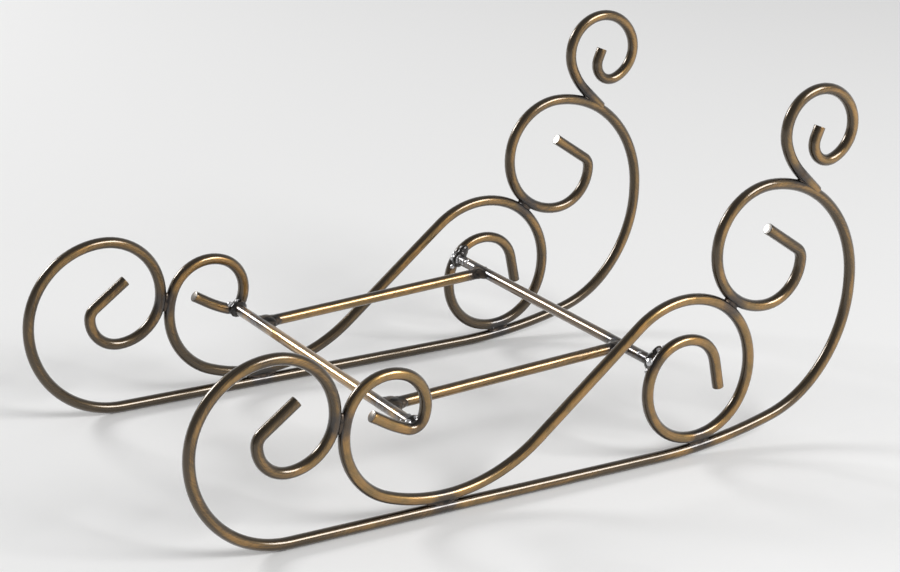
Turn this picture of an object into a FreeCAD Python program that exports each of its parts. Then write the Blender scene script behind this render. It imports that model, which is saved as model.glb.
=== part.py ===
"""Album stand of bent and welded round steel rod.

Two equal side frames stand 194 mm apart. Each has three rods bent in its own plane: a runner that
lies on the table and ends in a scroll at both ends, an S-scroll that leans on it, and a finial on
top of the back scroll. Two cross rods join the frames and two tray rods join the cross rods.
Millimetres: +X is the stand's right-hand side, +Y its tall back, +Z up.
"""
import FreeCAD, Part
import math
import os
import Sketcher

Vector = FreeCAD.Vector
doc = FreeCAD.newDocument("AlbumStand")

# ---------------------------------------------------------------- driving dimensions
generalSizes = {
    "rodRadius": 3.0,          # 6 mm round bar throughout
    "frameSpacing": 194.0,     # between the centre planes of the side frames
    "trayRodOffset": 67.0,     # from the middle of the stand to each tray rod
    "buttGap": 0.05,           # room at a butt joint before it is welded
    "finialStandOff": 1.2,     # the finial's root stands this far out from the runner's centre line
    "beadDepth": 2.7,          # half thickness of a bead laid in the groove between two rods
    "frontBeadLength": 6.0,    # half length of each groove bead along its rods
    "baseBeadLength": 7.0,
    "backBeadLength": 5.5,
    "grooveBeadWidth": 3.6,    # half width of a groove bead across its rods
    "finialBeadLength": 9.0,
    "finialBeadWidth": 4.4,
    "crossBeadRadius": 4.7,    # round bead at the end of a cross rod
    "trayBeadLength": 6.5,     # half length of the bead at the end of a tray rod, along that rod
    "trayBeadWidth": 8.5,      # half length of the same bead along the cross rod
    "trayBeadDepth": 3.4,
    "endBeadDepth": 2.6,       # half thickness of a round bead along its rod
    "beadSetback": 0.7,        # from the flank that a rod's end meets to the middle of its bead
}

# The stretches of each bent rod, from one free end to the other. A straight has a length. A bend
# has a centre-line radius and an angle, anticlockwise positive when seen from the right-hand side.
runnerStretches = [
    ("frontTip", 22.0),
    ("frontEye", 7.0, 54.0),
    ("frontCore", 16.0, 90.0),
    ("frontInside", 24.5, 90.0),
    ("frontTop", 32.5, 90.0),
    ("frontNose", 42.0, 90.0),
    ("frontHeel", 50.5, 90.0),
    ("base", 210.0),
    ("rearToe", 280.0, 15.0),
    ("rearHeel", 60.0, 30.0),
    ("backSwell", 72.0, 45.0),
    ("backRiser", 1.85),
    ("backShoulder", 60.0, 45.0),
    ("crown", 55.0, 45.0),
    ("backBrow", 32.0, 90.0),
    ("backChin", 32.5, 90.0),
    ("backCore", 22.0, 90.0),
    ("backEye", 7.0, 56.0),
    ("backTip", 24.0),
]
scrollStretches = [
    ("frontTip", 8.0),
    ("frontLead", 78.0, 10.0),
    ("frontEye", 7.0, 90.0),
    ("frontRear", 18.5, 90.0),
    ("frontTop", 23.0, 90.0),
    ("frontNose", 37.0, 90.0),
    ("frontHeel", 86.0, 60.0),
    ("diagonal", 75.4),
    ("rearShoulder", 45.0, -60.0),
    ("rearBrow", 40.0, -90.0),
    ("rearHeel", 32.5, -90.0),
    ("rearNose", 29.0, -90.0),
    ("rearCore", 22.0, -90.0),
    ("rearEye", 18.0, -57.0),
    ("rearTip", 15.0),
]
finialStretches = [
    ("root", 16.0),
    ("neck", 38.0, -26.0),
    ("front", 21.0, -90.0),
    ("top", 22.0, -90.0),
    ("back", 18.0, -90.0),
    ("eye", 9.5, -132.0),
    ("tip", 6.0),
]
stretchesOf = {"Runner": runnerStretches, "Scroll": scrollStretches, "Finial": finialStretches}

# Where each bent rod starts: the direction of its first straight, and the S-scroll's first end
# counted from the runner's.
runnerHeading = 216.0
scrollHeading = -31.0
finialHeading = 136.0
scrollFromRunner = (39.2, -15.1)

# How far along a stretch something sits, from 0 at its start to 1 at its end.
finialOnCrown = 0.29
frontCrossOnEye = 0.48
rearCrossOnCore = 0.16


def aliasOf(rodName, stretch):
    """The sheet's names for a stretch's length, or for its radius and angle."""
    stem = rodName.lower() + stretch[0][0].upper() + stretch[0][1:]
    if len(stretch) == 2:
        return [stem + "Length"]
    return [stem + "Radius", stem + "Angle"]


sizes = doc.addObject("Spreadsheet::Sheet", "Sizes")


def fillSheet(entries, firstRow):
    """Put sizes in the sheet, one to a row with its name beside it, and return the next free row."""
    for row, (alias, value) in enumerate(entries, start=firstRow):
        sizes.set(f"A{row}", alias)
        sizes.set(f"B{row}", str(value))
        sizes.setAlias(f"B{row}", alias)
    doc.recompute()
    return firstRow + len(entries)


drivingSizes = list(generalSizes.items())
for rodName, stretches in stretchesOf.items():
    for stretch in stretches:
        drivingSizes += zip(aliasOf(rodName, stretch), stretch[1:])
freeRow = fillSheet(drivingSizes, 1)


# ---------------------------------------------------------------- laying a bent rod out
def heading(angle):
    """Unit vector in the plane of a side frame, angle from +Y towards +Z."""
    turn = math.radians(angle)
    return Vector(0, math.cos(turn), math.sin(turn))


def centreLine(rodName, start, startAngle):
    """Edges of a rod's centre line in the plane x = 0, by stretch name."""
    edges = {}
    here, angle = start, startAngle
    for stretch in stretchesOf[rodName]:
        values = [getattr(sizes, alias) for alias in aliasOf(rodName, stretch)]
        if len(values) == 1:
            there = here + heading(angle) * values[0]
            edges[stretch[0]] = Part.LineSegment(here, there).toShape()
        else:
            radius, turn = values
            side = math.copysign(90, turn)
            centre = here + heading(angle + side) * radius
            middle = centre - heading(angle + turn / 2 + side) * radius
            there = centre - heading(angle + turn + side) * radius
            edges[stretch[0]] = Part.Arc(here, middle, there).toShape()
            angle += turn
        here = there
    return edges


def pointAlong(edge, fraction):
    return edge.valueAt(edge.FirstParameter + fraction * (edge.LastParameter - edge.FirstParameter))


def placeCentreLines():
    """Stand the runner on the table, centred front to back, with the other rods against it."""
    loose = centreLine("Runner", Vector(), runnerHeading)
    front = Part.Compound([loose["frontNose"], loose["frontHeel"]]).BoundBox.YMin
    back = Part.Compound([loose["backSwell"], loose["backShoulder"]]).BoundBox.YMax
    base = loose["base"].Vertexes[0].Z
    runnerStart = Vector(0, -(front + back) / 2, sizes.rodRadius - base)
    scrollStart = runnerStart + Vector(0, *scrollFromRunner)
    runner = centreLine("Runner", runnerStart, runnerHeading)
    scroll = centreLine("Scroll", scrollStart, scrollHeading)
    onCrown = pointAlong(runner["crown"], finialOnCrown)
    outwards = (onCrown - runner["crown"].Curve.Center).normalize()
    finialStart = onCrown + outwards * sizes.finialStandOff
    finial = centreLine("Finial", finialStart, finialHeading)
    return {
        "Runner": (runner, runnerStart, runnerHeading),
        "Scroll": (scroll, scrollStart, scrollHeading),
        "Finial": (finial, finialStart, finialHeading),
    }


layout = placeCentreLines()
runnerLine, scrollLine, finialLine = (layout[name][0] for name in ("Runner", "Scroll", "Finial"))
frontCross = pointAlong(scrollLine["frontEye"], frontCrossOnEye)
rearCross = pointAlong(scrollLine["rearCore"], rearCrossOnCore)
trayDirection = (rearCross - frontCross).normalize()
fillSheet([("trayRunLength", (rearCross - frontCross).Length)], freeRow)


# ---------------------------------------------------------------- rods
def attachSketch(body, name, planeRole):
    """New sketch on one of the body's own origin planes."""
    sketch = body.newObject("Sketcher::SketchObject", name)
    plane = next(item for item in body.Origin.OriginFeatures if item.Role == planeRole)
    sketch.AttachmentSupport = [(plane, "")]
    sketch.MapMode = "FlatFace"
    return sketch


def bindConstraint(sketch, constraint, alias):
    index = sketch.addConstraint(constraint)
    sketch.renameConstraint(index, alias)
    sketch.setExpression("Constraints." + alias, "Sizes." + alias)


def drawPath(body, rodName):
    """Centre line in the body's XY plane, leaving the origin along X, all stretches tangent."""
    sketch = attachSketch(body, body.Name + "Path", "XY_Plane")
    here, angle = Vector(), 0.0
    previousEnd = None
    for index, stretch in enumerate(stretchesOf[rodName]):
        aliases = aliasOf(rodName, stretch)
        direction = Vector(math.cos(math.radians(angle)), math.sin(math.radians(angle)), 0)
        if len(aliases) == 1:
            there = here + direction * stretch[1]
            sketch.addGeometry(Part.LineSegment(here, there), False)
            bindConstraint(sketch, Sketcher.Constraint("Distance", index, stretch[1]), aliases[0])
            entry, leaving = 1, 2
        else:
            radius, turn = stretch[1:]
            side = math.copysign(1, turn)
            centre = here + Vector(-direction.y, direction.x, 0) * radius * side
            startAngle = math.radians(angle - 90 * side)
            endAngle = math.radians(angle - 90 * side + turn)
            circle = Part.Circle(centre, Vector(0, 0, 1), radius)
            arc = Part.ArcOfCircle(circle, min(startAngle, endAngle), max(startAngle, endAngle))
            sketch.addGeometry(arc, False)
            there = circle.value(endAngle)
            bindConstraint(sketch, Sketcher.Constraint("Radius", index, radius), aliases[0])
            arcAngle = Sketcher.Constraint("Angle", index, math.radians(abs(turn)))
            sketch.addConstraint(arcAngle)
            sketch.renameConstraint(sketch.ConstraintCount - 1, aliases[1])
            sketch.setExpression("Constraints." + aliases[1], f"abs(Sizes.{aliases[1]})")
            entry, leaving = (1, 2) if turn > 0 else (2, 1)
            angle += turn
        if previousEnd is None:
            sketch.addConstraint(Sketcher.Constraint("Coincident", index, entry, -1, 1))
            sketch.addConstraint(Sketcher.Constraint("Horizontal", index))
        else:
            sketch.addConstraint(Sketcher.Constraint("Tangent", index - 1, previousEnd, index, entry))
        previousEnd = leaving
        here = there
    return sketch


def drawSection(body):
    """Round section of the rod, square to the start of its path."""
    sketch = attachSketch(body, body.Name + "Section", "YZ_Plane")
    sketch.addGeometry(Part.Circle(Vector(), Vector(0, 0, 1), sizes.rodRadius), False)
    sketch.addConstraint(Sketcher.Constraint("Coincident", 0, 3, -1, 1))
    index = sketch.addConstraint(Sketcher.Constraint("Radius", 0, sizes.rodRadius))
    sketch.renameConstraint(index, "section")
    sketch.setExpression("Constraints.section", "Sizes.rodRadius")
    return sketch


def makeBentRod(label, rodName, side):
    """Rod bent in the plane of one side frame; side is -1 for the left frame, 1 for the right."""
    body = doc.addObject("PartDesign::Body", label)
    path = drawPath(body, rodName)
    section = drawSection(body)
    pipe = body.newObject("PartDesign::AdditivePipe", label + "Pipe")
    pipe.Profile = section
    pipe.Spine = path
    start, startAngle = layout[rodName][1:]
    along = heading(startAngle)
    leftwards = heading(startAngle + 90)
    place = Vector(side * sizes.frameSpacing / 2, start.y, start.z)
    body.Placement = FreeCAD.Placement(place, FreeCAD.Rotation(along, leftwards, Vector(1, 0, 0)))
    body.setExpression("Placement.Base.x", f"{side} * Sizes.frameSpacing / 2")
    return body


def makeCrossRod(label, point):
    """Straight rod across the stand, its ends against the inner flanks of the side frames."""
    body = doc.addObject("PartDesign::Body", label)
    section = drawSection(body)
    pad = body.newObject("PartDesign::Pad", label + "Pad")
    pad.Profile = section
    pad.Midplane = True
    pad.setExpression("Length", "Sizes.frameSpacing - 2 * Sizes.rodRadius - 2 * Sizes.buttGap")
    body.Placement.Base = point
    return body


def makeTrayRod(label, side):
    """Straight rod from the front cross rod to the rear one."""
    body = doc.addObject("PartDesign::Body", label)
    section = drawSection(body)
    pad = body.newObject("PartDesign::Pad", label + "Pad")
    pad.Profile = section
    pad.setExpression("Length", "Sizes.trayRunLength - 2 * Sizes.rodRadius - 2 * Sizes.buttGap")
    leftwards = Vector(1, 0, 0).cross(trayDirection)
    place = frontCross + trayDirection * (sizes.rodRadius + sizes.buttGap)
    body.Placement = FreeCAD.Placement(place, FreeCAD.Rotation(trayDirection, leftwards, Vector(1, 0, 0)))
    body.setExpression("Placement.Base.x", f"{side} * Sizes.trayRodOffset")
    return body


# ---------------------------------------------------------------- weld beads
def cutAway(label, solid, rods):
    """The solid less the rods that it is welded to."""
    for number, rod in enumerate(rods, start=1):
        cut = doc.addObject("Part::Cut", f"{label}_{number}")
        cut.Base = solid
        cut.Tool = rod
        solid = cut
    solid.Label = label
    return solid


def makeBead(label, centre, along, halfSizes, rods):
    """Ellipsoid of weld metal; halfSizes are sheet names along, across and through the frame."""
    bead = doc.addObject("Part::Ellipsoid", label + "Blob")
    for radius, alias in zip(("Radius1", "Radius3", "Radius2"), halfSizes):
        bead.setExpression(radius, "Sizes." + alias)
    side = Vector(1, 0, 0)
    bead.Placement = FreeCAD.Placement(centre, FreeCAD.Rotation(side, along.cross(side), along))
    return cutAway(label, bead, rods)


def contact(firstEdge, secondEdge):
    """Middle of the gap where two centre lines come closest, and the direction along the rods."""
    distance, pairs = firstEdge.distToShape(secondEdge)[:2]
    gap = distance - 2 * sizes.rodRadius
    if not 0.02 < gap < 0.2:
        raise ValueError(f"rods that should touch are {gap:.3f} mm apart")
    first, second = pairs[0]
    across = (second - first).normalize()
    return (first + second) / 2, Vector(1, 0, 0).cross(across)


# ---------------------------------------------------------------- assembly
parts = []
frontCrossRod = makeCrossRod("front_cross_rod", frontCross)
rearCrossRod = makeCrossRod("rear_cross_rod", rearCross)
parts += [frontCrossRod, rearCrossRod]

grooveWelds = [
    ("front_scroll_weld", runnerLine["frontInside"], scrollLine["frontNose"], "frontBeadLength"),
    ("front_base_weld", runnerLine["base"], scrollLine["frontHeel"], "baseBeadLength"),
    ("rear_base_weld", runnerLine["rearToe"], scrollLine["rearHeel"], "baseBeadLength"),
    ("back_scroll_weld", runnerLine["backChin"], scrollLine["rearBrow"], "backBeadLength"),
]

for sideName, side in (("left", -1), ("right", 1)):
    framePlane = Vector(side * sizes.frameSpacing / 2, 0, 0)
    innerFlank = Vector(side * (sizes.frameSpacing / 2 - sizes.rodRadius - sizes.beadSetback), 0, 0)
    trayPlane = Vector(side * sizes.trayRodOffset, 0, 0)

    runner = makeBentRod(sideName + "_runner", "Runner", side)
    scroll = makeBentRod(sideName + "_s_scroll", "Scroll", side)
    finialRod = makeBentRod(sideName + "_finial_rod", "Finial", side)
    finial = cutAway(sideName + "_finial", finialRod, [runner])
    trayRod = makeTrayRod(sideName + "_tray_rod", side)
    parts += [runner, scroll, finial, trayRod]

    for name, runnerEdge, scrollEdge, length in grooveWelds:
        middle, along = contact(runnerEdge, scrollEdge)
        halfSizes = (length, "grooveBeadWidth", "beadDepth")
        parts.append(makeBead(f"{sideName}_{name}", middle + framePlane, along, halfSizes, [runner, scroll]))

    crotch = pointAlong(finialLine["root"], 1.0)
    halfSizes = ("finialBeadLength", "finialBeadWidth", "beadDepth")
    parts.append(makeBead(sideName + "_finial_weld", crotch + framePlane, heading(finialHeading),
                          halfSizes, [runner, finialRod]))

    halfSizes = ("crossBeadRadius", "crossBeadRadius", "endBeadDepth")
    for name, point, rod in (("front", frontCross, frontCrossRod), ("rear", rearCross, rearCrossRod)):
        parts.append(makeBead(f"{sideName}_{name}_cross_weld", point + innerFlank, Vector(0, 1, 0),
                              halfSizes, [scroll, rod]))

    halfSizes = ("trayBeadLength", "trayBeadDepth", "trayBeadWidth")
    for name, point, inward, rod in (("front", frontCross, trayDirection, frontCrossRod),
                                     ("rear", rearCross, trayDirection * -1, rearCrossRod)):
        middle = point + inward * (sizes.rodRadius + sizes.beadSetback) + trayPlane
        parts.append(makeBead(f"{sideName}_tray_{name}_weld", middle, trayDirection, halfSizes,
                              [trayRod, rod]))

doc.recompute()


# ---------------------------------------------------------------- checks and files
def checkDocument():
    for item in doc.Objects:
        if "Invalid" in item.State or "Error" in item.State:
            raise RuntimeError(f"{item.Name}: {item.State}")
    for item in parts:
        if item.Shape.isNull() or not item.Shape.isValid() or not item.Shape.Solids:
            raise RuntimeError(f"{item.Label} has no valid solid")


checkDocument()
os.makedirs("parts", exist_ok=True)
for item in parts:
    item.Shape.exportStep(f"parts/{item.Label}.step")
    print(f"{item.Label:26s} {item.Shape.Volume:9.1f} mm3  solids {len(item.Shape.Solids)}")
whole = Part.Compound([item.Shape for item in parts]).optimalBoundingBox(False, False)
print(f"overall {whole.XLength:.1f} x {whole.YLength:.1f} x {whole.ZLength:.1f} mm")
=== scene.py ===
# Photo album stand: scrolled side frames of bent round rod, joined by cross rods and tray rods.
# In metres, except where a note says millimetres. +X is the stand's right-hand side and +Y its
# tall back.
import bpy
import math
import mathutils
import random
from mathutils import Matrix, Vector


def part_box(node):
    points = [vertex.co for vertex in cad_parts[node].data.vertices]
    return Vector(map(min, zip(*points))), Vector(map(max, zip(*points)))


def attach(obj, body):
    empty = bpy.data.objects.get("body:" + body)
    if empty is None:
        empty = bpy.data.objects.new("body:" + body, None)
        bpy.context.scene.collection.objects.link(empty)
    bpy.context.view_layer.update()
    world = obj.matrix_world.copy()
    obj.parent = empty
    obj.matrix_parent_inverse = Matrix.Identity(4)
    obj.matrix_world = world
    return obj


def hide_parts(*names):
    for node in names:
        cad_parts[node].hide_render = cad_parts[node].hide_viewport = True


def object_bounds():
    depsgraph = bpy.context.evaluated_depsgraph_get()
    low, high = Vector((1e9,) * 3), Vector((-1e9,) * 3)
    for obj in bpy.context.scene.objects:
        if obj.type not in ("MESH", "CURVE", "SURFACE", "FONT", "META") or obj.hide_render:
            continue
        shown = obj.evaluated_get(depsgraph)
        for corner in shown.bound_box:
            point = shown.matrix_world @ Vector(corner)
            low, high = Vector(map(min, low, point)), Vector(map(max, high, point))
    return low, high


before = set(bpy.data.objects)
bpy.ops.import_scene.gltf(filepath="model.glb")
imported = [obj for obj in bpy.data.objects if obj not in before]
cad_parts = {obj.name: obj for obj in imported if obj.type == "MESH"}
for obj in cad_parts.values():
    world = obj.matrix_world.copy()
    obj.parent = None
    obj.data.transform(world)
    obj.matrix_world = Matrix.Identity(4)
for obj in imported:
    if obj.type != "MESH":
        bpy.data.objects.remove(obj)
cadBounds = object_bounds()
mm = 0.001
print("frame loaded,", len(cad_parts), "nodes")

# what every rod shares
bar = {
    "radius": 3.0 * mm,
    "sides": 32,
    "bendStep": 6.0,          # most degrees of bend between two rings
    "longestStep": 3.0 * mm,  # and most rod between them
    "endBevel": 0.35 * mm,
    "bevelSteps": 3,
    "sharpFrom": 50,          # edges with more degrees than this between their faces are broken
    "smoothUpTo": 40,         # and those with fewer than this are shaded smooth
    "twinShift": 5.0,         # how much further along the drawn bar the left frame's rods were cut
}


# small helpers

def deselectAll():
    bpy.ops.object.select_all(action="DESELECT")


def makeActive(piece):
    deselectAll()
    piece.select_set(True)
    bpy.context.view_layer.objects.active = piece


def applyModifiers(piece):
    makeActive(piece)
    for modifier in list(piece.modifiers):
        bpy.ops.object.modifier_apply(modifier=modifier.name)


def middleOf(node):
    low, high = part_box(node)
    return (low + high) / 2


def inPlane(angle):
    # unit vector in a side frame's plane, angle in degrees from +Y towards +Z
    return Vector((0, math.cos(math.radians(angle)), math.sin(math.radians(angle))))


# Bent rods. Each stretch is in millimetres and degrees: (length,) is a straight, (radius, angle) a
# bend, which turns left for a positive angle, seen from the right-hand side.
runner = {
    "heading": 216,
    "stretches": [
        (22,),                                                            # front tip
        (7, 54), (16, 90), (24.5, 90), (32.5, 90), (42, 90), (50.5, 90),  # front scroll
        (210,),                                                           # base
        (280, 15), (60, 30), (72, 45), (1.85,), (60, 45), (55, 45),       # rising back
        (32, 90), (32.5, 90), (22, 90), (7, 56),                          # back scroll
        (24,),                                                            # back tip
    ],
    "bareEnds": (0.12, 0.45),  # how bright the cut steel shows at the first and last end
    "barOffset": 0.0,          # how far along the long drawn bar this rod was cut, in metres
}
sScroll = {
    "heading": -31,
    "stretches": [
        (8,), (78, 10),
        (7, 90), (18.5, 90), (23, 90), (37, 90), (86, 60),                # front loop and belly
        (75.4,),                                                          # diagonal
        (45, -60), (40, -90), (32.5, -90), (29, -90), (22, -90), (18, -57),
        (15,),
    ],
    "bareEnds": (0.22, 0.1),
    "barOffset": 1.3,
}
finial = {
    "heading": 136,
    "stretches": [
        (16,), (38, -26),
        (21, -90), (22, -90), (18, -90), (9.5, -132),
        (6,),
    ],
    "bareEnds": (0.1, 0.15),
    "barOffset": 2.6,
}


def movesOf(values, start):
    # the centre line as a list of moves, each with its ends and how it gets from one to the other
    here, heading, moves = start.copy(), values["heading"], []
    for stretch in values["stretches"]:
        if len(stretch) == 1:
            there = here + inPlane(heading) * stretch[0] * mm
            steps = math.ceil(stretch[0] * mm / bar["longestStep"])
            moves.append({"from": here, "to": there, "steps": steps, "heading": heading, "turn": 0})
            here = there
            continue
        radius, turn = stretch[0] * mm, stretch[1]
        side = math.copysign(90, turn)
        centre = here + inPlane(heading + side) * radius
        there = centre - inPlane(heading + turn + side) * radius
        steps = math.ceil(max(abs(turn) / bar["bendStep"],
                              radius * math.radians(abs(turn)) / bar["longestStep"]))
        moves.append({"from": here, "to": there, "steps": steps, "heading": heading, "turn": turn,
                      "centre": centre, "radius": radius, "side": side})
        here, heading = there, heading + turn
    return moves


def ringsOf(moves):
    # every ring of the rod: its centre, which way the rod runs there, and the distance along it
    first = moves[0]
    rings, travelled = [(first["from"], inPlane(first["heading"]), 0.0)], 0.0
    for move in moves:
        length = (move["to"] - move["from"]).length
        if move["turn"]:
            length = move["radius"] * math.radians(abs(move["turn"]))
        for step in range(1, move["steps"] + 1):
            share = step / move["steps"]
            heading = move["heading"] + move["turn"] * share
            centre = move["from"].lerp(move["to"], share)
            if move["turn"]:
                centre = move["centre"] - inPlane(heading + move["side"]) * move["radius"]
            rings.append((centre, inPlane(heading), travelled + length * share))
        travelled += length
    return rings


def startFor(values, node):
    # the centre line's back and top extremes sit one rod radius inside the CAD node's box
    rings = ringsOf(movesOf(values, Vector()))
    low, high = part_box(node)
    back = max(ring[0].y for ring in rings)
    top = max(ring[0].z for ring in rings)
    return Vector(((low.x + high.x) / 2, high.y - bar["radius"] - back, high.z - bar["radius"] - top))


def closeEnds(piece):
    # both open rings get a face, and the cut edges lose their sharpness
    makeActive(piece)
    bpy.ops.object.mode_set(mode="EDIT")
    bpy.ops.mesh.select_all(action="DESELECT")
    bpy.ops.mesh.select_non_manifold(extend=False)
    bpy.ops.mesh.fill_holes(sides=0)
    bpy.ops.mesh.select_all(action="SELECT")
    bpy.ops.mesh.normals_make_consistent(inside=False)
    bpy.ops.object.mode_set(mode="OBJECT")
    bevel = piece.modifiers.new("cutEdge", "BEVEL")
    bevel.limit_method = "ANGLE"
    bevel.angle_limit = math.radians(bar["sharpFrom"])
    bevel.width = bar["endBevel"]
    bevel.segments = bar["bevelSteps"]
    applyModifiers(piece)
    bpy.ops.object.shade_smooth_by_angle(angle=math.radians(bar["smoothUpTo"]))


def nearestRing(rings):
    tree = mathutils.kdtree.KDTree(len(rings))
    for index, ring in enumerate(rings):
        tree.insert(ring[0], index)
    tree.balance()
    return tree


def noteBarPlaces(piece, rings, values):
    # where each point lay on the straight bar before bending: along it, and across its section;
    # and how bare the steel is on the cut faces
    tree = nearestRing(rings)
    piece.data.attributes.new("barPlace", "FLOAT_VECTOR", "POINT")
    piece.data.attributes.new("bare", "FLOAT", "POINT")
    barPlace, bare = piece.data.attributes["barPlace"], piece.data.attributes["bare"]
    across = Vector((1, 0, 0)) if abs(rings[0][1].x) < 0.5 else Vector((0, 0, 1))
    for vertex in piece.data.vertices:
        centre, index, _ = tree.find(vertex.co)
        _, along, travelled = rings[index]
        offset = vertex.co - centre
        barPlace.data[vertex.index].vector = (
            values["barOffset"] + travelled + offset.dot(along),
            offset.dot(across),
            offset.dot(along.cross(across)),
        )
    lastRing = len(rings) - 1
    for face in piece.data.polygons:
        if len(face.vertices) > 4:  # only the cut faces have more than four corners
            nearFirst = tree.find(face.center)[1] < lastRing / 2
            for index in face.vertices:
                bare.data[index].value = values["bareEnds"][0 if nearFirst else 1]


def bendRod(name, values, node):
    # a ring at the first free end is pulled along each straight and swung round each bend
    start = startFor(values, node)
    moves = movesOf(values, start)
    deselectAll()
    bpy.ops.mesh.primitive_circle_add(vertices=bar["sides"], radius=bar["radius"], fill_type="NOTHING",
                                      location=start,
                                      rotation=(math.radians(values["heading"] - 90), 0, 0))
    piece = bpy.context.active_object
    piece.name = name
    bpy.ops.object.transform_apply(location=True, rotation=True, scale=True)
    bpy.ops.object.mode_set(mode="EDIT")
    bpy.ops.mesh.select_all(action="SELECT")
    for move in moves:
        if move["turn"]:
            bpy.ops.mesh.spin(steps=move["steps"], angle=-math.radians(move["turn"]),
                              center=move["centre"], axis=(1, 0, 0))
            continue
        for _ in range(move["steps"]):
            pull = (move["to"] - move["from"]) / move["steps"]
            bpy.ops.mesh.extrude_region_move(TRANSFORM_OT_translate={"value": pull})
    bpy.ops.object.mode_set(mode="OBJECT")
    closeEnds(piece)
    rings = ringsOf(moves)
    noteBarPlaces(piece, rings, values)
    return piece, rings


def copyAcross(piece, rings, name, shift):
    # the same rod again in the other side frame, cut from another part of the bar
    makeActive(piece)
    bpy.ops.object.duplicate()
    twin = bpy.context.active_object
    twin.name = name
    twin.location = shift
    bpy.ops.object.transform_apply(location=True, rotation=False, scale=False)
    for place in twin.data.attributes["barPlace"].data:
        place.vector = place.vector + Vector((bar["twinShift"], 0, 0))
    return twin, [(centre + shift, along, travelled) for centre, along, travelled in rings]


pieces, ringsFor = {}, {}
for kind, values in (("runner", runner), ("s_scroll", sScroll), ("finial", finial)):
    right, left = "right_" + kind, "left_" + kind
    pieces[right], ringsFor[right] = bendRod(right + "_rod", values, right)
    pieces[left], ringsFor[left] = copyAcross(pieces[right], ringsFor[right], left + "_rod",
                                              middleOf(left) - middleOf(right))
print("bent rods made")


# straight rods, butted against what they join
straight = {"bareEnds": (0, 0), "barOffset": 3.5, "nextOffset": 0.5}


def straightRod(name, start, end, values):
    # a ring pulled from one end to the other
    along = (end - start).normalized()
    steps = math.ceil((end - start).length / bar["longestStep"])
    deselectAll()
    bpy.ops.mesh.primitive_circle_add(vertices=bar["sides"], radius=bar["radius"], fill_type="NOTHING",
                                      location=start,
                                      rotation=Vector((0, 0, 1)).rotation_difference(along).to_euler())
    piece = bpy.context.active_object
    piece.name = name
    bpy.ops.object.transform_apply(location=True, rotation=True, scale=True)
    bpy.ops.object.mode_set(mode="EDIT")
    bpy.ops.mesh.select_all(action="SELECT")
    for _ in range(steps):
        bpy.ops.mesh.extrude_region_move(TRANSFORM_OT_translate={"value": (end - start) / steps})
    bpy.ops.object.mode_set(mode="OBJECT")
    closeEnds(piece)
    rings = [(start.lerp(end, step / steps), along, (end - start).length * step / steps)
             for step in range(steps + 1)]
    noteBarPlaces(piece, rings, values)
    return piece, rings


for node in ("front_cross_rod", "rear_cross_rod"):
    low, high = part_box(node)
    middle = (low + high) / 2
    straight["barOffset"] += straight["nextOffset"]
    pieces[node], ringsFor[node] = straightRod(node + "_bar", Vector((low.x, middle.y, middle.z)),
                                               Vector((high.x, middle.y, middle.z)), straight)

frontAxis, rearAxis = middleOf("front_cross_rod"), middleOf("rear_cross_rod")
trayDirection = (rearAxis - frontAxis).normalized()
for node in ("left_tray_rod", "right_tray_rod"):
    sideways = Vector((middleOf(node).x, 0, 0))
    straight["barOffset"] += straight["nextOffset"]
    pieces[node], ringsFor[node] = straightRod(node + "_bar",
                                               frontAxis + sideways + trayDirection * bar["radius"],
                                               rearAxis + sideways - trayDirection * bar["radius"],
                                               straight)
print("straight rods made")


# Welds. Each is a skin over the stubs of the two rods that it joins, drawn in along the crease
# between them, over drops of weld metal. A drop is how far along the first rod from the weld's middle
# it lies, and its half lengths along that rod, across the stand, and square to both, in millimetres.
# Beads are counts of thrown beads on the first and on the second rod, and throw is how much they
# favour the middle of the stand, the front and the top. A pool is how far along the first rod it
# lies, its angle round that rod from the inner side, and its radius.
welds = {
    "front_scroll": {"rods": ("runner", "s_scroll"), "drops": [(0, (5.5, 1.9, 2.4))]},
    "front_base": {"rods": ("runner", "s_scroll"), "drops": [(0, (6.5, 1.9, 2.4))], "boil": 0.14},
    "rear_base": {"rods": ("runner", "s_scroll"), "drops": [(0, (6.5, 2.0, 2.4))], "beads": (2, 2),
                  "boil": 0.20},
    "back_scroll": {"rods": ("runner", "s_scroll"), "drops": [(0, (5, 1.9, 2.4))]},
    "finial": {"rods": ("finial", "runner"), "drops": [(0, (6, 1.6, 2.2))]},
    "front_cross": {"rods": ("s_scroll", "front_cross_rod"), "drops": [(0, (5.2, 3.4, 4.4))],
                    "beads": (3, 3), "throw": (1.4, 0, 0.9), "boil": 0.30, "smoothing": 6,
                    "beadSizes": (0.7, 1.3), "pools": [(-4.2, 65, 1.7), (3.8, 50, 1.2)]},
    "rear_cross": {"rods": ("s_scroll", "rear_cross_rod"),
                   "drops": [(2.6, (6.5, 2.0, 3.3)), (0, (5.0, 3.4, 4.2))],
                   "beads": (2, 3), "throw": (1.4, 0, 0.9), "boil": 0.30, "smoothing": 6,
                   "beadSizes": (0.7, 1.2), "beadReach": 9,
                   "pools": [(0.5, 60, 2.0), (6.0, 45, 1.2), (-4.6, 30, 1.2)]},
    "tray_front": {"rods": ("tray_rod", "front_cross_rod"),
                   "drops": [(-2.4, (3.4, 9.0, 2.9)), (-0.8, (4.8, 7.0, 3.5)), (1.8, (6.0, 4.6, 3.1))],
                   "boil": 0.14},
    "tray_rear": {"rods": ("tray_rod", "rear_cross_rod"),
                  "drops": [(2.4, (3.2, 8.0, 2.8)), (0.6, (4.4, 5.4, 2.8)), (-1.5, (5.2, 4.0, 2.9))],
                  "beads": (1, 2), "boil": 0.20},
}
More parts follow.
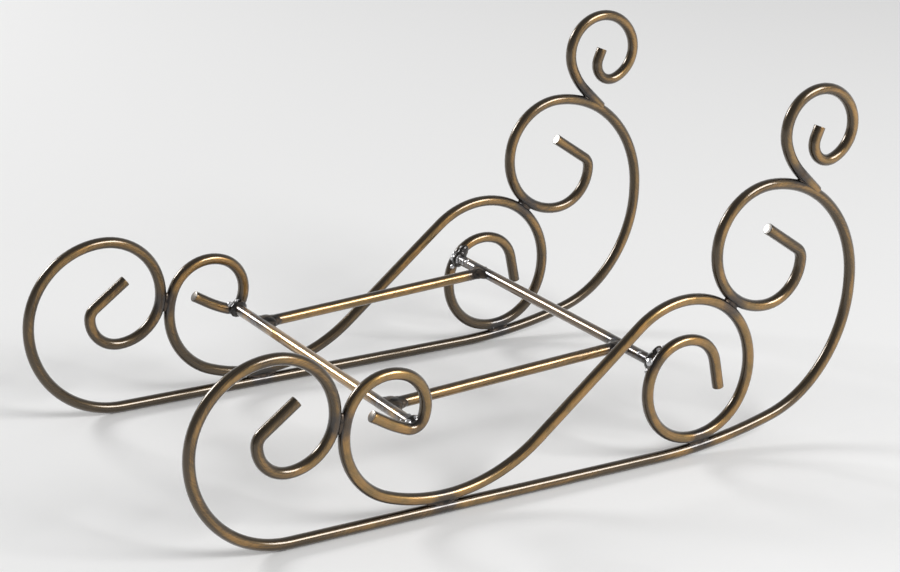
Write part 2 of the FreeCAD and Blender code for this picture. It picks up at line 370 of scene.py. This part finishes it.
# what a weld has where it says nothing else: boil is the height of its lumps, smoothing how many
# rounds of that its skin gets, beadSizes the least and greatest radius of a thrown bead, and
# beadReach how far from the middle one can lie
plainWeld = {"pools": [], "beads": (0, 0), "throw": (0, 0, 0), "boil": 0.10, "smoothing": 14,
             "beadSizes": (0.4, 0.8), "beadReach": 7.5}
# this one was run further along its cross rod
ownWeld = {"left_rear_cross_weld": {"beads": (2, 14), "throw": (1.0, 2.6, 1.6), "beadSizes": (0.6, 1.1),
                                    "beadReach": 12, "boil": 0.14, "smoothing": 8}}
skin = {
    "reach": 13.0 * mm,       # length of rod under the skin, each way from the joint
    "sink": 0.16 * mm,        # how far the skin lies inside the bare rods
    "voxel": 0.38 * mm,
    "flow": 0.5,              # how far one round of smoothing moves a point, 1 being all the way
    "lumpSize": 1.5 * mm,
    "lumpyReach": 9.75 * mm,  # how far from the middle the metal is lumpy
    "dropSides": 20,
    "dropRings": 12,
    "beadFineness": 2,
    "beadSink": 0.2,          # share of a thrown bead's radius that is sunk in the rod
    "brightReach": 1.15,      # how far from a bead's middle it is bright, in its own radii
    "brightEdge": 0.25 * mm,  # and over what width the brightness ends
    "seed": 7,
}


def stubOf(node, centre):
    # the part of a rod near the joint, closed at its ends and slightly thinned
    makeActive(pieces[node])
    bpy.ops.object.duplicate()
    stub = bpy.context.active_object
    rings = ringsFor[node]
    tree = nearestRing(rings)
    joint = rings[tree.find(centre)[1]][2]
    bpy.ops.object.mode_set(mode="EDIT")
    bpy.ops.mesh.select_mode(type="VERT")
    bpy.ops.mesh.select_all(action="DESELECT")
    bpy.ops.object.mode_set(mode="OBJECT")
    for vertex in stub.data.vertices:
        travelled = rings[tree.find(vertex.co)[1]][2]
        vertex.select = abs(travelled - joint) > skin["reach"]
    bpy.ops.object.mode_set(mode="EDIT")
    bpy.ops.mesh.delete(type="VERT")
    bpy.ops.mesh.select_non_manifold(extend=False)
    bpy.ops.mesh.fill_holes(sides=0)
    bpy.ops.mesh.select_all(action="SELECT")
    bpy.ops.mesh.normals_make_consistent(inside=False)
    bpy.ops.object.mode_set(mode="OBJECT")
    thin = stub.modifiers.new("thin", "DISPLACE")
    thin.strength = -skin["sink"]
    thin.mid_level = 0
    applyModifiers(stub)
    return stub


def dropAt(centre, along, sizes):
    # a drop of weld metal, with its half lengths along the rod, across the stand and square to both
    across = Vector((1, 0, 0))
    through = along.cross(across).normalized()
    deselectAll()
    bpy.ops.mesh.primitive_uv_sphere_add(segments=skin["dropSides"], ring_count=skin["dropRings"],
                                         radius=1)
    drop = bpy.context.active_object
    turn = Matrix((along, across, through)).transposed().to_4x4()
    drop.matrix_world = Matrix.Translation(centre) @ turn @ Matrix.Diagonal((*sizes, 1))
    bpy.ops.object.transform_apply(location=True, rotation=True, scale=True)
    return drop


def beadAt(place, radius):
    deselectAll()
    bpy.ops.mesh.primitive_ico_sphere_add(subdivisions=skin["beadFineness"], radius=radius,
                                          location=place)
    bpy.ops.object.transform_apply(location=True, rotation=False, scale=False)
    return bpy.context.active_object, place, radius


def beadsOn(node, centre, count, values, draw):
    # beads of metal thrown on the rod beside the joint
    beads = []
    near = [ring for ring in ringsFor[node] if (ring[0] - centre).length < values["beadReach"] * mm]
    inward, forward, upward = values["throw"]
    throw = Vector((-math.copysign(inward, centre.x), -forward, upward))
    for _ in range(count):
        ringCentre, along, _ = draw.choice(near)
        outward = Vector((draw.gauss(0, 1), draw.gauss(0, 1), draw.gauss(0, 1))) + throw
        outward = (outward - along * outward.dot(along)).normalized()
        radius = draw.uniform(*values["beadSizes"]) * mm
        height = bar["radius"] - skin["beadSink"] * radius
        beads.append(beadAt(ringCentre + outward * height, radius))
    return beads


def poolsOn(node, centre, values):
    # larger bright beads, each at its own place round the joint
    pools = []
    rings = ringsFor[node]
    middle = rings[nearestRing(rings).find(centre)[1]][2]
    inward = Vector((-math.copysign(1, centre.x), 0, 0))
    for distance, angle, size in values["pools"]:
        ringCentre, along, _ = min(rings, key=lambda ring: abs(ring[2] - middle - distance * mm))
        upward = along.cross(inward)
        upward *= math.copysign(1, upward.z)
        turn = math.radians(angle)
        outward = inward * math.cos(turn) + upward * math.sin(turn)
        pools.append(beadAt(ringCentre + outward * bar["radius"], size * mm))
    return pools


lumps = bpy.data.textures.new("lumps", "CLOUDS")
lumps.noise_scale = skin["lumpSize"]
lumps.noise_depth = 1


def noteBeads(piece, beads):
    # 1 on the bright beads, 0 on the dark metal round them
    bright = piece.data.attributes.new("bead", "FLOAT", "POINT")
    for vertex in piece.data.vertices:
        depth = max((radius * skin["brightReach"] - (vertex.co - place).length
                     for _, place, radius in beads), default=-1)
        bright.data[vertex.index].value = min(1, max(0, depth / skin["brightEdge"]))


def keepInside(piece):
    # weld metal is dressed flat where it would stand out past the stand's own faces
    low, high = cadBounds
    for vertex in piece.data.vertices:
        for axis in range(3):
            vertex.co[axis] = min(high[axis], max(low[axis], vertex.co[axis]))


def weldSkin(name, node, rods, values, draw):
    centre = middleOf(node)
    firstTree = nearestRing(ringsFor[rods[0]])
    along = ringsFor[rods[0]][firstTree.find(centre)[1]][1]
    beads = [bead for rod, count in zip(rods, values["beads"])
             for bead in beadsOn(rod, centre, count, values, draw)]
    beads += poolsOn(rods[0], centre, values)
    metal = [stubOf(rod, centre) for rod in rods]
    for shift, sizes in values["drops"]:
        metal.append(dropAt(centre + along * shift * mm, along, [size * mm for size in sizes]))
    metal += [bead[0] for bead in beads]
    deselectAll()
    for item in metal:
        item.select_set(True)
    bpy.context.view_layer.objects.active = metal[0]
    bpy.ops.object.join()
    piece = bpy.context.active_object
    piece.name = name

    fuse = piece.modifiers.new("fuse", "REMESH")
    fuse.mode = "VOXEL"
    fuse.voxel_size = skin["voxel"]
    flow = piece.modifiers.new("flow", "SMOOTH")
    flow.factor = skin["flow"]
    flow.iterations = values["smoothing"]
    applyModifiers(piece)

    # lumps, by up to boil millimetres in and out, only where the metal was molten
    molten = piece.vertex_groups.new(name="molten")
    for vertex in piece.data.vertices:
        nearness = 1 - (vertex.co - centre).length / skin["lumpyReach"]
        if nearness > 0:
            molten.add([vertex.index], min(1, 2 * nearness), "REPLACE")
    boil = piece.modifiers.new("boil", "DISPLACE")
    boil.texture = lumps
    boil.texture_coords = "LOCAL"
    boil.strength = 2 * values["boil"] * mm
    boil.mid_level = 0.5
    boil.vertex_group = "molten"
    applyModifiers(piece)
    piece.vertex_groups.clear()
    bpy.ops.object.shade_smooth()
    for spare in ("barPlace", "bare"):
        if spare in piece.data.attributes:
            piece.data.attributes.remove(piece.data.attributes[spare])
    noteBeads(piece, beads)
    keepInside(piece)
    return piece


draw = random.Random(skin["seed"])
for sideName in ("right", "left"):
    for kind, values in welds.items():
        node = f"{sideName}_{kind}_weld"
        rods = [rod if rod in pieces else f"{sideName}_{rod}" for rod in values["rods"]]
        itsValues = plainWeld | values | ownWeld.get(node, {})
        pieces[node] = weldSkin(node + "_skin", node, rods, itsValues, draw)
print("welds made")


# heat marks and rubbing
weldCentres = [middleOf(node) for node in pieces if node.endswith("weld")]

# how much more, or less, each rod was rubbed back; on a cross rod, how far down to the tan
rubbedBack = {
    "right_runner": -0.14, "left_runner": -0.14,
    "right_finial": -0.12, "left_finial": -0.12,
    "right_s_scroll": 0.04, "left_s_scroll": -0.08,
    "right_tray_rod": 0.08, "left_tray_rod": 0.15,
    "front_cross_rod": 1.0, "rear_cross_rod": 0.12,
}
rubbing = {
    "lessLow": {"right": 0.06, "left": 0.32},    # how much darker, with less gold, each side frame is made low down towards the table
    "lowZone": 50.0 * mm,                        # and up to which height that tells
    "evenTrays": {"right": 0.7, "left": 0.4},    # how evenly a tray rod was rubbed all round
}
heat = {
    "reach": 9.0 * mm,   # how far from a weld its heat has marked the rods
    "crossTimes": 1.8,   # and how many times as far on a cross rod
}


def noteWear(piece, node):
    # scorched is 1 in the middle of a weld, falling to 0 where the rod stayed cold
    reach = heat["reach"] * (heat["crossTimes"] if "cross_rod" in node else 1)
    for name in ("scorched", "rubbed", "evened"):
        piece.data.attributes.new(name, "FLOAT", "POINT")
    scorched = piece.data.attributes["scorched"]
    rubbed = piece.data.attributes["rubbed"]
    evened = piece.data.attributes["evened"]
    sideName = node.split("_")[0]
    lessLow = rubbing["lessLow"].get(sideName, 0)
    evenness = rubbing["evenTrays"][sideName] if "tray_rod" in node else 0
    for vertex in piece.data.vertices:
        nearest = min((vertex.co - centre).length for centre in weldCentres)
        scorched.data[vertex.index].value = math.exp(-(nearest / reach) ** 2)
        lowness = max(0, 1 - vertex.co.z / rubbing["lowZone"])
        rubbed.data[vertex.index].value = rubbedBack.get(node, 0) - lessLow * lowness
        evened.data[vertex.index].value = evenness


for node, piece in pieces.items():
    noteWear(piece, node)
    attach(piece, "root")
    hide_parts(node)
    if node.endswith("weld"):
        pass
    elif "cross" in node:
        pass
    else:
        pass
print("wear marked,", len(pieces), "pieces placed")


# shader helpers

def feed(tree, socket, value):
    if isinstance(value, bpy.types.NodeSocket):
        tree.links.new(value, socket)
    else:
        socket.default_value = value


def calc(tree, operation, *terms, clamp=False):
    node = tree.nodes.new("ShaderNodeMath")
    node.operation = operation
    node.use_clamp = clamp
    for socket, term in zip(node.inputs, terms):
        feed(tree, socket, term)
    return node.outputs["Value"]


def fade(tree, value, low, high):
    # 0 below low, 1 above high, eased between them
    node = tree.nodes.new("ShaderNodeMapRange")
    node.interpolation_type = "SMOOTHSTEP"
    feed(tree, node.inputs["Value"], value)
    feed(tree, node.inputs["From Min"], low)
    feed(tree, node.inputs["From Max"], high)
    return node.outputs["Result"]


def blend(tree, factor, first, second):
    node = tree.nodes.new("ShaderNodeMix")
    node.data_type = "RGBA"
    feed(tree, node.inputs["Factor"], factor)
    feed(tree, node.inputs["A"], first)
    feed(tree, node.inputs["B"], second)
    return node.outputs["Result"]


def noise(tree, vector, scale, detail=2.0):
    node = tree.nodes.new("ShaderNodeTexNoise")
    feed(tree, node.inputs["Vector"], vector)
    node.inputs["Scale"].default_value = scale
    node.inputs["Detail"].default_value = detail
    return node.outputs["Fac"]


def attribute(tree, name, output="Fac"):
    node = tree.nodes.new("ShaderNodeAttribute")
    node.attribute_name = name
    return node.outputs[output]


def newGroup(name, inputs, outputs):
    group = bpy.data.node_groups.new(name, "ShaderNodeTree")
    for label, kind in inputs:
        group.interface.new_socket(label, in_out="INPUT", socket_type="NodeSocket" + kind)
    for label, kind in outputs:
        group.interface.new_socket(label, in_out="OUTPUT", socket_type="NodeSocket" + kind)
    given = group.nodes.new("NodeGroupInput").outputs
    result = group.nodes.new("NodeGroupOutput").inputs
    return group, given, result


def useGroup(tree, group, **values):
    node = tree.nodes.new("ShaderNodeGroup")
    node.node_tree = group
    for label, value in values.items():
        feed(tree, node.inputs[label], value)
    return node.outputs


def newMaterial(name):
    material = bpy.data.materials.new(name)
    material.use_nodes = True
    tree = material.node_tree
    tree.nodes.clear()
    output = tree.nodes.new("ShaderNodeOutputMaterial")
    shader = tree.nodes.new("ShaderNodeBsdfPrincipled")
    tree.links.new(shader.outputs["BSDF"], output.inputs["Surface"])
    return material, tree, shader


def roughen(tree, shader, grain, values):
    # the grain moves the roughness by half of its spread each way
    lowest = values["roughness"] - values["roughnessSpread"] / 2
    feed(tree, shader.inputs["Roughness"],
         calc(tree, "MULTIPLY_ADD", grain, values["roughnessSpread"], lowest))


def bump(tree, shader, height, distance, strength):
    node = tree.nodes.new("ShaderNodeBump")
    node.inputs["Strength"].default_value = strength
    node.inputs["Distance"].default_value = distance
    feed(tree, node.inputs["Height"], height)
    tree.links.new(node.outputs["Normal"], shader.inputs["Normal"])


# finishes shared between materials
strokeGrain = {
    "detail": 3.0,
    "fade": (0.34, 0.66),    # tones of the grain where a stroke starts and where it is whole
}


def makeBrushStrokes():
    # fine streaks along the bar, wound round it by Twist radians to the metre
    group, given, result = newGroup("brushStrokes",
                                    [("Place", "Vector"), ("Twist", "Float"), ("Fine", "Float"),
                                     ("Along", "Float")],
                                    [("Strokes", "Float")])
    parts = group.nodes.new("ShaderNodeSeparateXYZ")
    feed(group, parts.inputs["Vector"], given["Place"])
    wind = group.nodes.new("ShaderNodeVectorRotate")
    wind.rotation_type = "X_AXIS"
    feed(group, wind.inputs["Vector"], given["Place"])
    feed(group, wind.inputs["Angle"], calc(group, "MULTIPLY", parts.outputs["X"], given["Twist"]))
    scales = group.nodes.new("ShaderNodeCombineXYZ")
    for axis, label in (("X", "Along"), ("Y", "Fine"), ("Z", "Fine")):
        feed(group, scales.inputs[axis], given[label])
    stretched = group.nodes.new("ShaderNodeVectorMath")
    stretched.operation = "MULTIPLY"
    feed(group, stretched.inputs[0], wind.outputs["Vector"])
    feed(group, stretched.inputs[1], scales.outputs["Vector"])
    grain = noise(group, stretched.outputs["Vector"], 1.0, strokeGrain["detail"])
    feed(group, result["Strokes"], fade(group, grain, *strokeGrain["fade"]))
    return group


flankRubbing = {
    "patchScale": 22.0,
    "patchFade": (0.32, 0.68),
    "patchDepth": 0.18,        # how far a patch moves the edge of the rubbing, in rod radii
    "patchLow": -0.10,         # and where that movement starts
    "edge": (0.56, 0.98),      # where the rubbing starts and where it is whole, in rod radii
}


def makeRubbedFlanks():
    # 1 on the two flanks of a rod that face out of its plane of bending, 0 on its top and underside
    group, given, result = newGroup("rubbedFlanks",
                                    [("Place", "Vector"), ("Radius", "Float"), ("Rubbing", "Float")],
                                    [("Rubbed", "Float")])
    parts = group.nodes.new("ShaderNodeSeparateXYZ")
    feed(group, parts.inputs["Vector"], given["Place"])
    facing = calc(group, "DIVIDE", calc(group, "ABSOLUTE", parts.outputs["Y"]), given["Radius"])
    facing = calc(group, "ADD", facing, given["Rubbing"])
    patches = fade(group, noise(group, given["Place"], flankRubbing["patchScale"]),
                   *flankRubbing["patchFade"])
    wobble = calc(group, "MULTIPLY_ADD", patches, flankRubbing["patchDepth"], flankRubbing["patchLow"])
    feed(group, result["Rubbed"],
         fade(group, calc(group, "ADD", facing, wobble), *flankRubbing["edge"]))
    return group


scorching = {
    "patchScale": 420.0,
    "patchDetail": 3.0,
    "unevenness": 0.35,        # how much the patches add to the heat
    "burntFade": (0.42, 0.95),
    "bluedFade": (0.45, 0.65),
}


def makeScorch():
    # how strongly the heat of a weld has darkened the metal, in uneven patches
    group, given, result = newGroup("scorch", [("Heat", "Float"), ("Place", "Vector")],
                                    [("Burnt", "Float"), ("Blued", "Float")])
    patches = noise(group, given["Place"], scorching["patchScale"], scorching["patchDetail"])
    uneven = calc(group, "MULTIPLY_ADD", patches, scorching["unevenness"], given["Heat"])
    feed(group, result["Burnt"], fade(group, uneven, *scorching["burntFade"]))
    feed(group, result["Blued"], fade(group, patches, *scorching["bluedFade"]))
    return group


clearLacquer = {
    "ior": 1.6,
    "burnFade": (0.78, 1.0),   # heat at which it starts to burn away and at which it is thinnest
    "burntAway": 0.8,          # share that is gone there
}


def makeBurntLacquer():
    # how much of the lacquer is left: right beside a weld it has burnt away
    group, given, result = newGroup("burntLacquer", [("Heat", "Float")], [("Lacquer", "Float")])
    gone = fade(group, given["Heat"], *clearLacquer["burnFade"])
    feed(group, result["Lacquer"], calc(group, "MULTIPLY_ADD", gone, -clearLacquer["burntAway"], 1.0))
    return group


denting = {
    "scale": 110.0,
    "detail": 1.0,
    "depth": 6.0,              # height of the dents, where a stroke's is 1
    "distance": 0.04 * mm,     # what a height of 1 stands for
}


def makeDentedSurface():
    # the height of the rod's surface: shallow dents under the strokes
    group, given, result = newGroup("dentedSurface", [("Place", "Vector"), ("Strokes", "Float")],
                                    [("Height", "Float")])
    dents = noise(group, given["Place"], denting["scale"], denting["detail"])
    feed(group, result["Height"],
         calc(group, "MULTIPLY_ADD", dents, denting["depth"], given["Strokes"]))
    return group


brushStrokes = makeBrushStrokes()
rubbedFlanks = makeRubbedFlanks()
scorch = makeScorch()
burntLacquer = makeBurntLacquer()
dentedSurface = makeDentedSurface()

# materials
bronze = {
    "dark": (0.056, 0.036, 0.014, 1),
    "brown": (0.128, 0.072, 0.022, 1),
    "olive": (0.250, 0.155, 0.045, 1),
    "copper": (0.425, 0.230, 0.062, 1),
    "bareSteel": (0.52, 0.51, 0.50, 1),
    "soot": (0.020, 0.019, 0.022, 1),
    "sootCover": 0.8,
    "longStrokes": {"Twist": 25.0, "Fine": 1900.0, "Along": 90.0},
    "slantedStrokes": {"Twist": 300.0, "Fine": 1500.0, "Along": 190.0},
    "longDepth": 0.32,           # how much the strokes add to the rubbing
    "slantedDepth": 0.18,
    "strokeLow": -0.26,          # and how much is taken off between them
    "evenRubbing": 0.56,         # how far a rod that was rubbed evenly is rubbed all round
    "goldFrom": 0.30,            # rubbing at which the gold starts to show
    "goldPatches": {"scale": 140.0, "detail": 3.0, "fade": (0.28, 0.72)},
    "brownStrokes": 0.35,        # how brown the strokes are on the gold
    "roughness": 0.32,
    "roughnessSpread": 0.12,
    "lacquerRoughness": 0.15,
    "bumpStrength": 0.12,
}


def bronzedRodMaterial():
    # antique bronze: a dark bath rubbed back to gold on the flanks, under clear lacquer
    material, tree, shader = newMaterial("antique_bronze")
    place = attribute(tree, "barPlace", "Vector")
    scorched = attribute(tree, "scorched")
    along = useGroup(tree, brushStrokes, Place=place, **bronze["longStrokes"])["Strokes"]
    slanted = useGroup(tree, brushStrokes, Place=place, **bronze["slantedStrokes"])["Strokes"]
    flanks = useGroup(tree, rubbedFlanks, Place=place, Radius=bar["radius"],
                      Rubbing=attribute(tree, "rubbed"))["Rubbed"]
    burnt = useGroup(tree, scorch, Heat=scorched, Place=place)["Burnt"]

    evenly = calc(tree, "SUBTRACT", bronze["evenRubbing"], flanks)
    flanks = calc(tree, "MULTIPLY_ADD", evenly, attribute(tree, "evened"), flanks)
    strokes = calc(tree, "MULTIPLY_ADD", slanted, bronze["slantedDepth"], bronze["strokeLow"])
    strokes = calc(tree, "MULTIPLY_ADD", along, bronze["longDepth"], strokes)
    rubbed = calc(tree, "ADD", flanks, strokes, clamp=True)

    patches = noise(tree, place, bronze["goldPatches"]["scale"], bronze["goldPatches"]["detail"])
    gold = blend(tree, fade(tree, patches, *bronze["goldPatches"]["fade"]), bronze["olive"],
                 bronze["copper"])
    gold = blend(tree, calc(tree, "MULTIPLY", along, bronze["brownStrokes"]), gold, bronze["brown"])
    colour = blend(tree, rubbed, bronze["dark"], bronze["brown"])
    colour = blend(tree, fade(tree, rubbed, bronze["goldFrom"], 1.0), colour, gold)
    colour = blend(tree, calc(tree, "MULTIPLY", burnt, bronze["sootCover"]), colour, bronze["soot"])
    colour = blend(tree, attribute(tree, "bare"), colour, bronze["bareSteel"])
    feed(tree, shader.inputs["Base Color"], colour)
    shader.inputs["Metallic"].default_value = 1
    roughen(tree, shader, along, bronze)
    feed(tree, shader.inputs["Coat Weight"], useGroup(tree, burntLacquer, Heat=scorched)["Lacquer"])
    shader.inputs["Coat Roughness"].default_value = bronze["lacquerRoughness"]
    shader.inputs["Coat IOR"].default_value = clearLacquer["ior"]
    surface = useGroup(tree, dentedSurface, Place=place, Strokes=strokes)["Height"]
    bump(tree, shader, surface, denting["distance"], bronze["bumpStrength"])
    return material


crossSteel = {
    "grey": (0.100, 0.080, 0.065, 1),
    "tan": (0.600, 0.370, 0.145, 1),
    "stroke": (0.180, 0.118, 0.066, 1),
    "blue": (0.110, 0.114, 0.138, 1),
    "soot": (0.034, 0.029, 0.026, 1),
    "strokes": {"Twist": 0.0, "Fine": 2200.0, "Along": 50.0},
    "strokeCover": 0.8,
    "burnCover": 0.9,
    "roughness": 0.31,
    "roughnessSpread": 0.10,
    "lacquerRoughness": 0.045,
    "bumpStrength": 0.10,
}


def crossRodMaterial():
    # bright drawn steel under thin bronze lacquer, burnt blue and black at its welded ends
    material, tree, shader = newMaterial("lacquered_steel")
    place = attribute(tree, "barPlace", "Vector")
    scorched = attribute(tree, "scorched")
    along = useGroup(tree, brushStrokes, Place=place, **crossSteel["strokes"])["Strokes"]
    marks = useGroup(tree, scorch, Heat=scorched, Place=place)
    colour = blend(tree, attribute(tree, "rubbed"), crossSteel["grey"], crossSteel["tan"])
    colour = blend(tree, calc(tree, "MULTIPLY", along, crossSteel["strokeCover"]), colour,
                   crossSteel["stroke"])
    burnColour = blend(tree, marks["Blued"], crossSteel["soot"], crossSteel["blue"])
    colour = blend(tree, calc(tree, "MULTIPLY", marks["Burnt"], crossSteel["burnCover"]), colour,
                   burnColour)
    feed(tree, shader.inputs["Base Color"], colour)
    shader.inputs["Metallic"].default_value = 1
    roughen(tree, shader, along, crossSteel)
    feed(tree, shader.inputs["Coat Weight"], useGroup(tree, burntLacquer, Heat=scorched)["Lacquer"])
    shader.inputs["Coat Roughness"].default_value = crossSteel["lacquerRoughness"]
    shader.inputs["Coat IOR"].default_value = clearLacquer["ior"]
    surface = useGroup(tree, dentedSurface, Place=place, Strokes=along)["Height"]
    bump(tree, shader, surface, denting["distance"], crossSteel["bumpStrength"])
    return material


weldMetal = {
    "scale": (0.026, 0.023, 0.022, 1),
    "brown": (0.090, 0.068, 0.052, 1),
    "silver": (0.62, 0.62, 0.64, 1),
    "patchScale": 260.0,
    "patchDetail": 3.0,
    "pitScale": 950.0,
    "pitFade": (0.18, 0.34),   # tones of the pits between which a bead turns from dark to bright
    "pitDepth": 0.10 * mm,
    "bumpStrength": 0.3,
    "lacquerRoughness": 0.12,
}
# brown is the tones of the patches between which black scale turns brown
smoothWeld = {"brown": (0.38, 0.58), "roughness": 0.42, "roughnessSpread": 0.16, "lacquer": 0.4}
bubblyWeld = {"brown": (0.53, 0.73), "roughness": 0.34, "roughnessSpread": 0.16, "lacquer": 1}


def makeOxideScale():
    # black and brown oxide scale, with bright beads on it
    group, given, result = newGroup("oxideScale",
                                    [("Place", "Vector"), ("Bead", "Float"), ("BrownFrom", "Float"),
                                     ("BrownTo", "Float")],
                                    [("Colour", "Color"), ("Patches", "Float"), ("Pits", "Float")])
    patches = noise(group, given["Place"], weldMetal["patchScale"], weldMetal["patchDetail"])
    pits = noise(group, given["Place"], weldMetal["pitScale"])
    brown = fade(group, patches, given["BrownFrom"], given["BrownTo"])
    colour = blend(group, brown, weldMetal["scale"], weldMetal["brown"])
    bright = calc(group, "MULTIPLY", given["Bead"], fade(group, pits, *weldMetal["pitFade"]))
    feed(group, result["Colour"], blend(group, bright, colour, weldMetal["silver"]))
    feed(group, result["Patches"], patches)
    feed(group, result["Pits"], pits)
    return group


oxideScale = makeOxideScale()


def weldMaterial(name, values):
    # the scale and beads of a weld, more or less lacquered
    material, tree, shader = newMaterial(name)
    brownFrom, brownTo = values["brown"]
    coordinates = tree.nodes.new("ShaderNodeTexCoord")
    surface = useGroup(tree, oxideScale, Place=coordinates.outputs["Object"],
                       Bead=attribute(tree, "bead"), BrownFrom=brownFrom, BrownTo=brownTo)
    feed(tree, shader.inputs["Base Color"], surface["Colour"])
    shader.inputs["Metallic"].default_value = 1
    roughen(tree, shader, surface["Patches"], values)
    shader.inputs["Coat Weight"].default_value = values["lacquer"]
    shader.inputs["Coat Roughness"].default_value = weldMetal["lacquerRoughness"]
    bump(tree, shader, surface["Pits"], weldMetal["pitDepth"], weldMetal["bumpStrength"])
    return material


bronzed = bronzedRodMaterial()
lacquered = crossRodMaterial()
smooth = weldMaterial("smooth_weld", smoothWeld)
bubbly = weldMaterial("bubbly_weld", bubblyWeld)
for node, piece in pieces.items():
    finish = bronzed
    if node.endswith("cross_weld"):
        finish = bubbly
    elif node.endswith("weld"):
        finish = smooth
    elif "cross" in node:
        finish = lacquered
    piece.data.materials.clear()
    piece.data.materials.append(finish)
print("materials made")


# floor, light and camera

def directionFrom(azimuth, elevation):
    # unit vector towards something seen at these angles; azimuth 0 is in front, 90 to the right
    turn, lift = math.radians(azimuth), math.radians(elevation)
    return Vector((math.sin(turn) * math.cos(lift), -math.cos(turn) * math.cos(lift), math.sin(lift)))


studio = {
    "paper": (0.89, 0.89, 0.888, 1),
    "paperRoughness": 0.85,
    "floorSize": 12,
    "rightSoftbox": {"azimuth": 119, "elevation": 33, "distance": 2.6, "size": (1.20, 0.88),
                     "power": 49},
    "leftSoftbox": {"azimuth": -64, "elevation": 24, "distance": 2.6, "size": (0.80, 0.60),
                    "power": 31},
    "sky": [(0.0, 0.86), (0.18, 0.82), (0.42, 0.58), (0.80, 0.46)],  # height above the horizon, tone
    "frontShade": 0.45,        # how much of the sky's tone is left at the front of the room
}

deselectAll()
bpy.ops.mesh.primitive_plane_add(size=studio["floorSize"])
floor = bpy.context.active_object
floor.name = "floor"
paper, tree, shader = newMaterial("pale_paper")
shader.inputs["Base Color"].default_value = studio["paper"]
shader.inputs["Roughness"].default_value = studio["paperRoughness"]
floor.data.materials.append(paper)


def softbox(name, values):
    lamp = bpy.data.lights.new(name, "AREA")
    lamp.shape = "RECTANGLE"
    lamp.size, lamp.size_y = values["size"]
    lamp.energy = values["power"]
    holder = bpy.data.objects.new(name, lamp)
    bpy.context.collection.objects.link(holder)
    towards = directionFrom(values["azimuth"], values["elevation"])
    holder.location = (cadBounds[0] + cadBounds[1]) / 2 + towards * values["distance"]
    holder.rotation_euler = towards.to_track_quat("Z", "Y").to_euler()


softbox("rightSoftbox", studio["rightSoftbox"])
softbox("leftSoftbox", studio["leftSoftbox"])

world = bpy.data.worlds.new("studio")
bpy.context.scene.world = world
world.use_nodes = True
sky = world.node_tree
direction = sky.nodes.new("ShaderNodeSeparateXYZ")
feed(sky, direction.inputs["Vector"], sky.nodes.new("ShaderNodeTexCoord").outputs["Generated"])
tones = sky.nodes.new("ShaderNodeValToRGB")
feed(sky, tones.inputs["Fac"], direction.outputs["Z"])
while len(tones.color_ramp.elements) < len(studio["sky"]):
    tones.color_ramp.elements.new(1)
for element, (position, tone) in zip(tones.color_ramp.elements, studio["sky"]):
    element.position = position
    element.color = (tone, tone, tone, 1)
# from the shade at the front, where Y is -1, to the whole tone at the back
shade = sky.nodes.new("ShaderNodeMapRange")
feed(sky, shade.inputs["Value"], direction.outputs["Y"])
shade.inputs["From Min"].default_value = -1
shade.inputs["To Min"].default_value = studio["frontShade"]
feed(sky, sky.nodes["Background"].inputs["Color"], tones.outputs["Color"])
feed(sky, sky.nodes["Background"].inputs["Strength"], shade.outputs["Result"])

view = {"azimuth": 58.51, "elevation": 18.84, "roll": 1.12, "distance": 1.2032, "lens": 92.6,
        "sensor": 36, "aim": (0, 0.0043, 0.0768), "clip": (0.01, 50)}
lens = bpy.data.cameras.new("camera")
lens.lens = view["lens"]
lens.sensor_width = view["sensor"]
lens.clip_start, lens.clip_end = view["clip"]
camera = bpy.data.objects.new("camera", lens)
bpy.context.collection.objects.link(camera)
towardsCamera = directionFrom(view["azimuth"], view["elevation"])
camera.matrix_world = (Matrix.Translation(Vector(view["aim"]) + towardsCamera * view["distance"])
                       @ Matrix.Rotation(math.radians(view["azimuth"]), 4, "Z")
                       @ Matrix.Rotation(math.radians(90 - view["elevation"]), 4, "X")
                       @ Matrix.Rotation(math.radians(view["roll"]), 4, "Z"))
bpy.context.scene.camera = camera
bpy.context.scene.view_settings.view_transform = "Standard"
print("floor, light and camera set")
